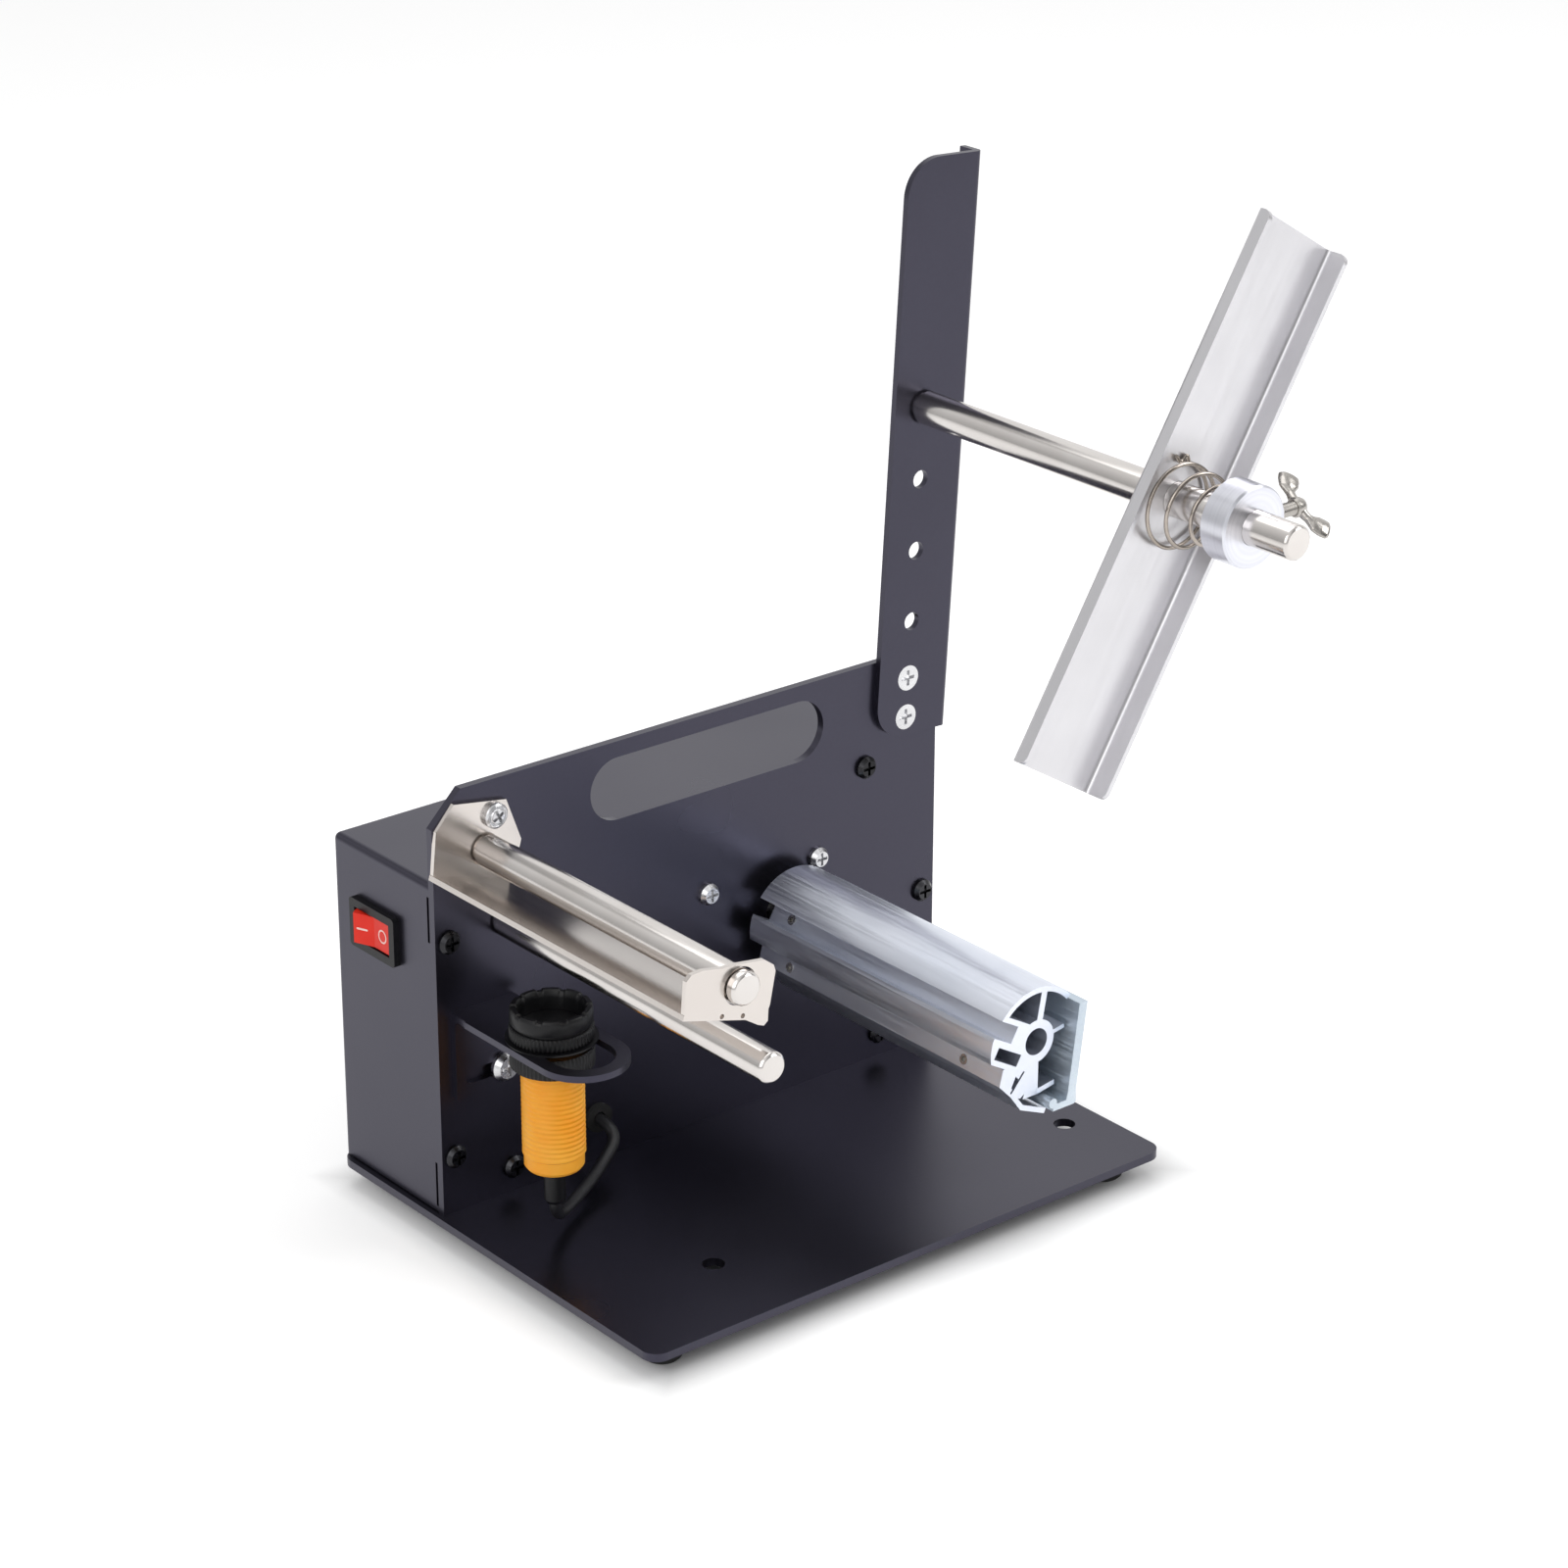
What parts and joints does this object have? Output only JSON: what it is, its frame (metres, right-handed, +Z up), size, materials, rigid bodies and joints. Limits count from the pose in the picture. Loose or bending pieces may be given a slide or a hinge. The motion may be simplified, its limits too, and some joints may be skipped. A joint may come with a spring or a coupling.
{
  "type": "label dispenser",
  "caption": "Bench label dispenser: reel shaft with a sprung guide, peel bracket with two rods, label sensor and a motor driven winding spool on a steel stand.",
  "frame": {"origin": "middle of the base plate's outline at the level that the feet stand on", "axes": "+X to the right along the front plate as the user sees it, +Y from the user to the back, +Z up"},
  "size_m": [0.2367, 0.2047, 0.293],
  "materials": {
    "black_paint": "fine textured black powder coat",
    "rubber": "matt black rubber",
    "black_screws": "black oxide",
    "zinc": "zinc plate",
    "stainless": "ground stainless steel",
    "stainless_sheet": "brushed stainless sheet",
    "turned_aluminium": "turned aluminium",
    "plated_casting": "nickel plate",
    "extruded_aluminium": "anodised extrusion",
    "black_steel_grub": "black oxide",
    "sensor_orange": "moulded orange plastic",
    "black_plastic": "moulded black plastic",
    "sensor_window": "dark red window",
    "rocker_red": "translucent red plastic",
    "motor_steel": "plated steel housing",
    "board": "solder mask on laminate"
  },
  "bodies": {
    "stand": {"base_plate": "black_paint", "front_plate": "black_paint", "cover": "black_paint", "upright": "black_paint", "plate_angles": "black_paint", "base_feet": "rubber", "cable_grommet": "rubber", "sensor_cable": "rubber", "plate_screws": "black_screws", "base_screws": "black_screws", "base_nuts": "zinc", "clinch_nuts": "zinc", "upright_screws": "zinc", "upright_nuts": "zinc", "peel_bracket_screw": "zinc", "bracket_nuts": "zinc", "rod_screws": "zinc", "sensor_bracket_screw": "zinc", "motor_screws": "zinc", "reel_shaft_screw": "zinc", "board_screws": "zinc", "board_standoffs": "zinc", "inlet_nut": "zinc", "reel_shaft": "stainless", "upper_rod": "stainless", "lower_guide_rod": "stainless", "rocker_pin": "stainless", "peel_bracket": "stainless_sheet", "switch_housing": "black_plastic", "supply_inlet": "black_plastic", "board_components": "black_plastic", "gearbox": "motor_steel", "motor": "motor_steel", "control_board": "board"},
    "bracket": {"sensor_bracket": "black_paint"},
    "sensor": {"sensor_barrel": "sensor_orange", "sensor_lens": "sensor_window", "sensor_upper_nut": "black_plastic", "sensor_lower_nut": "black_plastic", "sensor_cable_stub": "black_plastic"},
    "collar": {"collar": "turned_aluminium"},
    "wing": {"wing_screw": "plated_casting"},
    "spring": {"reel_spring": "stainless"},
    "guide": {"reel_channel": "stainless_sheet"},
    "spool": {"spool_core": "extruded_aluminium", "spool_grub_screws": "black_steel_grub", "motor_shaft": "stainless"},
    "clamp": {"clamp_bar": "extruded_aluminium"},
    "rocker": {"switch_rocker": "rocker_red"}
  },
  "joints": [
    {"name": "bracket_shift", "type": "slide", "parent": "stand", "child": "bracket", "axis": [1, 0, 0], "range_m": [-0.001, 0.0105], "deforming": ["sensor_cable"]},
    {"name": "sensor_shift", "type": "slide", "parent": "bracket", "child": "sensor", "axis": [0, -1, 0], "range_m": [0, 0.014], "deforming": ["sensor_cable"]},
    {"name": "collar_shift", "type": "slide", "parent": "stand", "child": "collar", "axis": [0, -1, 0], "range_m": [-0.1, 0.014]},
    {"name": "wing_turn", "type": "hinge", "parent": "collar", "child": "wing", "pos_m": [0.09817, -0.1066, 0.21594], "axis": [1, 0, 0], "range_deg": [0, 360]},
    {"name": "guide_press", "type": "slide", "parent": "collar", "child": "spring", "axis": [0, -1, 0], "range_m": [0, 0.004], "stiffness_N_per_m": 620, "deforming": ["reel_spring"]},
    {"name": "guide_spin", "type": "hinge", "parent": "spring", "child": "guide", "pos_m": [0.08317, -0.0814, 0.21594], "axis": [0, -1, 0], "continuous": true},
    {"name": "spool_spin", "type": "hinge", "parent": "stand", "child": "spool", "pos_m": [0.0321, 0.02, 0.0686], "axis": [0, -1, 0], "continuous": true},
    {"name": "clamp_open", "type": "hinge", "parent": "spool", "child": "clamp", "pos_m": [0.0355, 0.02, 0.0497], "axis": [0, 1, 0], "range_deg": [0, 15]},
    {"name": "rocker_press", "type": "hinge", "parent": "stand", "child": "rocker", "pos_m": [-0.0916, 0.0537, 0.0891], "axis": [0, 0, 1], "range_deg": [-22, 0]}
  ]
}
